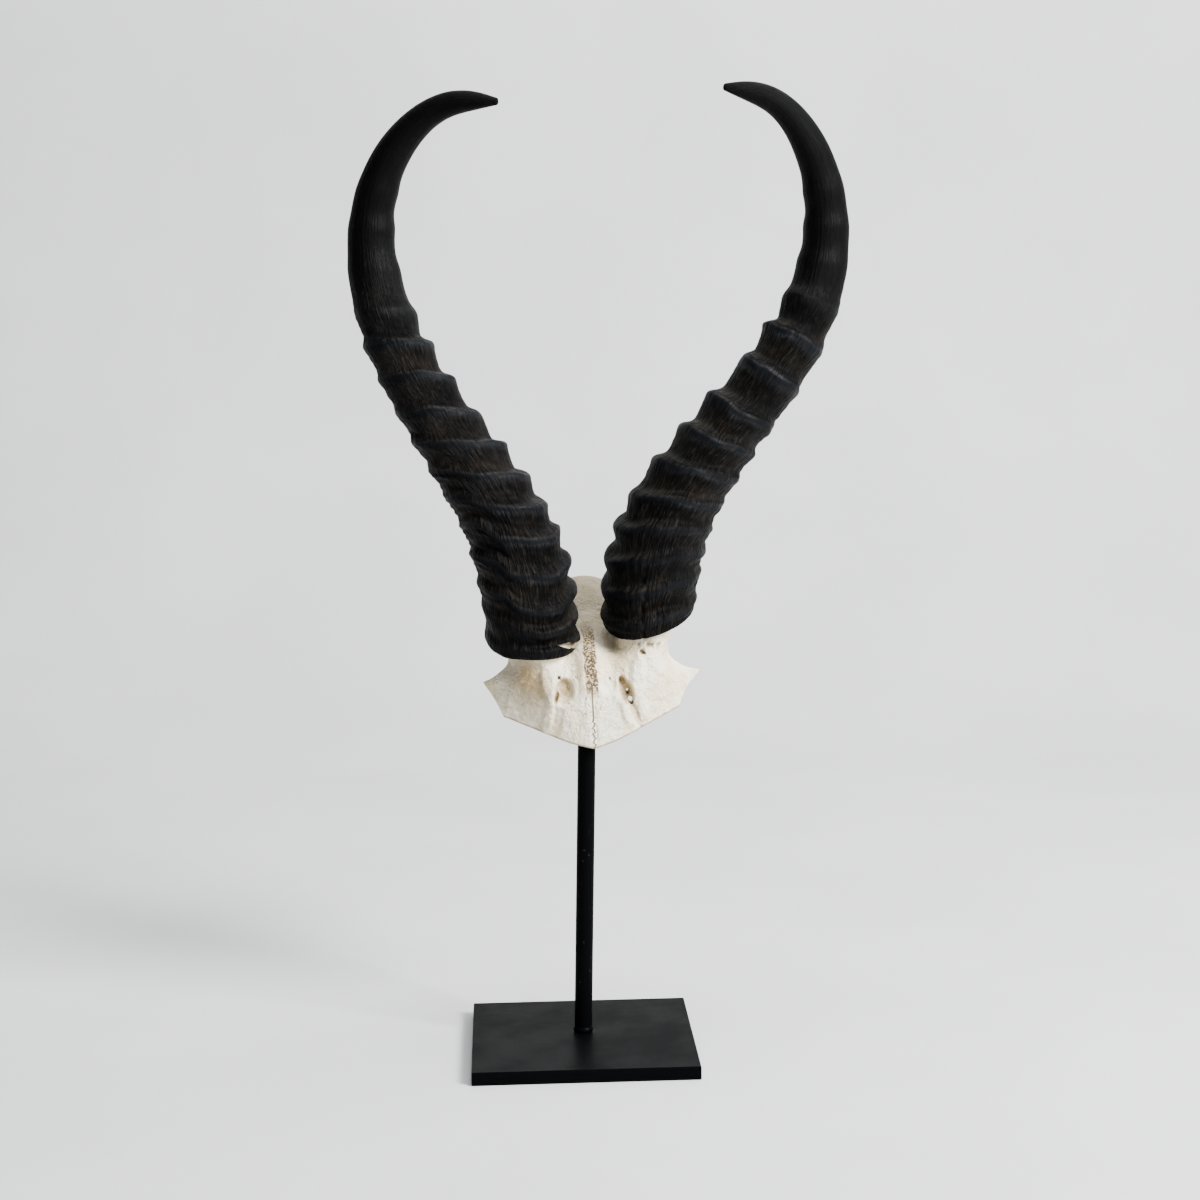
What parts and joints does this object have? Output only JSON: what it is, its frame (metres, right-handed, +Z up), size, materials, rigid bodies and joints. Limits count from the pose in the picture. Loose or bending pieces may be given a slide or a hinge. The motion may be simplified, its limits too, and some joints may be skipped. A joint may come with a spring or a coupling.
{
  "type": "springbok horns mounted on a stand",
  "caption": "Ringed lyre-shaped antelope horns on their sawn skull cap, held on a slim steel rod and square base plate.",
  "frame": {"origin": "centre of the base plate's underside", "axes": "+Z up along the rod, -Y the forehead side that faces the viewer, +X the viewer's right"},
  "size_m": [0.2239, 0.12, 0.4294],
  "materials": {
    "black_steel": "satin",
    "screw_steel": "satin",
    "bone": "matte",
    "horn": "satin"
  },
  "bodies": {
    "root": {"base_plate": "black_steel", "post": "black_steel", "tab_screw_lower": "screw_steel", "tab_screw_upper": "screw_steel", "skull_cap": "bone", "horn_left": "horn", "horn_right": "horn"}
  },
  "joints": []
}
